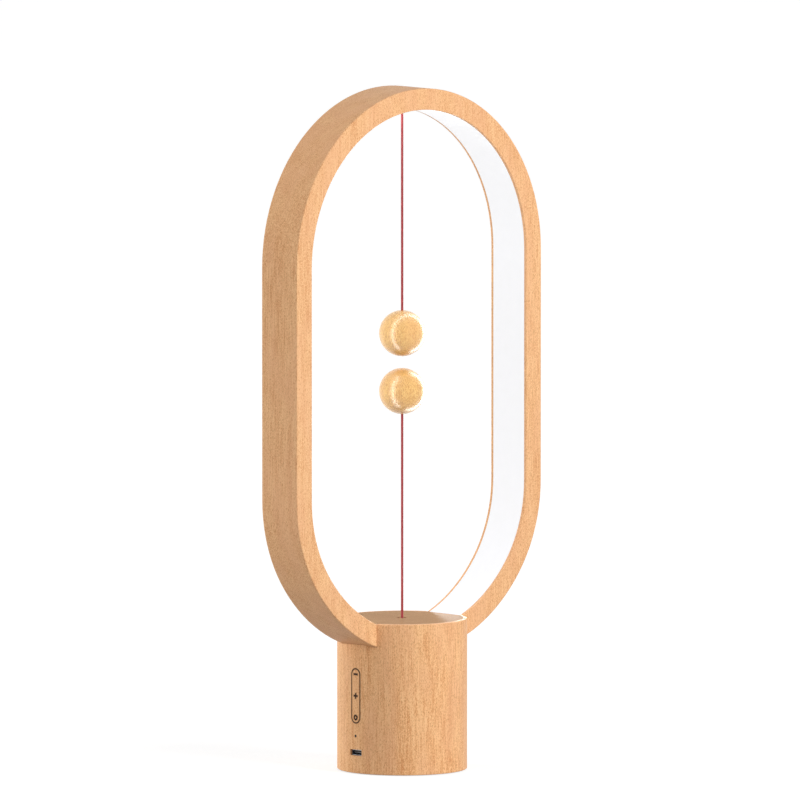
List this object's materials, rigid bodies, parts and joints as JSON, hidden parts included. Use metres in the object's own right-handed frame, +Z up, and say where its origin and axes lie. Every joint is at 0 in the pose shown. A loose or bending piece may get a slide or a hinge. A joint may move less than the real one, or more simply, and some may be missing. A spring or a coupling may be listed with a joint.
{
  "type": "magnetic balance lamp",
  "caption": "Desk lamp with a lit wooden ring on a drum base, switched by two magnet balls on cords that pull together across a gap.",
  "frame": {"origin": "middle of the surface that the lamp stands on, on the axis of the base and the cords", "axes": "+Z up; the ring lies in the XZ plane, with +Y to its back; the touch strip and the charging socket face -X, under the ring's left arm"},
  "size_m": [0.2, 0.076, 0.4],
  "materials": {
    "beech": "clear lacquered beech, fine upright grain",
    "ball_beech": "glossy lacquered beech",
    "opal_band": "translucent opal silicone",
    "strip_film": "white flexible circuit",
    "light_chip": "yellow phosphor in white cases",
    "red_cord": "fine braided cord",
    "turned_brass": "turned, satin",
    "magnet_nickel": "nickel plate",
    "steel": "plain zinc-plated",
    "white_plastic": "moulded, fine texture",
    "black_plastic": "moulded",
    "red_plastic": "moulded",
    "smoked_lens": "dark polished light pipe",
    "wire_red": "silicone insulation",
    "wire_black": "silicone insulation",
    "circuit_green": "solder mask",
    "copper_film": "copper electrodes on film",
    "cell_foil": "printed-free foil pouch",
    "white_tape": "foam tape",
    "weight_steel": "zinc-plated steel plate",
    "foot_rubber": "soft, matte"
  },
  "bodies": {
    "lamp_base": {"ring_frame": "beech", "light_band": "opal_band", "light_strip": "strip_film", "light_chips": "light_chip", "strip_leads": "wire_red", "top_cord_seat": "turned_brass", "base_body": "beech", "base_top": "beech", "low_cord_seat": "turned_brass", "ring_saddle": "white_plastic", "ring_screws": "steel", "return_spring": "steel", "switch_body": "black_plastic", "lever_pin": "steel", "switch_terminals": "turned_brass", "switch_screws": "steel", "switch_leads": "wire_black", "inner_frame": "white_plastic", "circuit_board": "circuit_green", "board_chips": "black_plastic", "board_screws": "steel", "socket_shell": "steel", "socket_tongue": "black_plastic", "indicator_lens": "smoked_lens", "touch_film": "copper_film", "touch_springs": "steel", "battery": "cell_foil", "battery_tape": "white_tape", "battery_leads": "wire_red", "steel_weight": "weight_steel", "bottom_cover": "black_plastic", "cover_screws": "steel", "foot_ring": "foot_rubber"},
    "upper_pivot": {"top_cord_knot": "red_cord"},
    "upper_line": {"upper_cord": "red_cord", "upper_ball_knot": "red_cord"},
    "upper_bob": {"upper_ball": "ball_beech", "upper_magnet": "magnet_nickel", "upper_magnet_plug": "ball_beech"},
    "switch_rod": {"pull_rod": "turned_brass"},
    "lower_pivot": {"low_cord_knot": "red_cord"},
    "lower_line": {"lower_cord": "red_cord", "lower_ball_knot": "red_cord"},
    "lower_bob": {"lower_ball": "ball_beech", "lower_magnet": "magnet_nickel", "lower_magnet_plug": "ball_beech"},
    "lever": {"switch_lever": "steel"},
    "plunger": {"switch_plunger": "red_plastic"}
  },
  "joints": [
    {"name": "upper_swing_side", "type": "hinge", "parent": "lamp_base", "child": "upper_pivot", "pos_m": [0, 0, 0.3905], "axis": [0, 1, 0], "range_deg": [-22, 22]},
    {"name": "upper_swing_front", "type": "hinge", "parent": "upper_pivot", "child": "upper_line", "pos_m": [0, 0, 0.3905], "axis": [1, 0, 0], "range_deg": [-22, 22]},
    {"name": "upper_ball_turn", "type": "hinge", "parent": "upper_line", "child": "upper_bob", "pos_m": [0, 0, 0.25595], "axis": [0, 0, 1], "continuous": true},
    {"name": "switch_pull", "type": "slide", "parent": "lamp_base", "child": "switch_rod", "axis": [0, 0, 1], "range_m": [-0.0015, 0], "stiffness_N_per_m": 200, "springref_m": 0.002, "deforming": ["return_spring"]},
    {"name": "lower_swing_side", "type": "hinge", "parent": "switch_rod", "child": "lower_pivot", "pos_m": [0, 0, 0.0844], "axis": [0, 1, 0], "range_deg": [-12, 12], "stiffness_Nm_per_rad": 0.04},
    {"name": "lower_swing_front", "type": "hinge", "parent": "lower_pivot", "child": "lower_line", "pos_m": [0, 0, 0.0844], "axis": [1, 0, 0], "range_deg": [-12, 12], "stiffness_Nm_per_rad": 0.04},
    {"name": "lower_ball_turn", "type": "hinge", "parent": "lower_line", "child": "lower_bob", "pos_m": [0, 0, 0.22205], "axis": [0, 0, 1], "continuous": true},
    {"name": "switch_lever_tilt", "type": "hinge", "parent": "lamp_base", "child": "lever", "pos_m": [-0.008, 0, 0.0463], "axis": [0, 1, 0], "range_deg": [0, 11]},
    {"name": "switch_plunger_travel", "type": "slide", "parent": "lamp_base", "child": "plunger", "axis": [0, 0, 1], "range_m": [-0.001, 0]}
  ],
  "couplings": [
    {"joint": "switch_lever_tilt", "follows": "switch_pull", "rad_per_m": -125},
    {"joint": "switch_plunger_travel", "follows": "switch_pull", "ratio": 0.64}
  ]
}
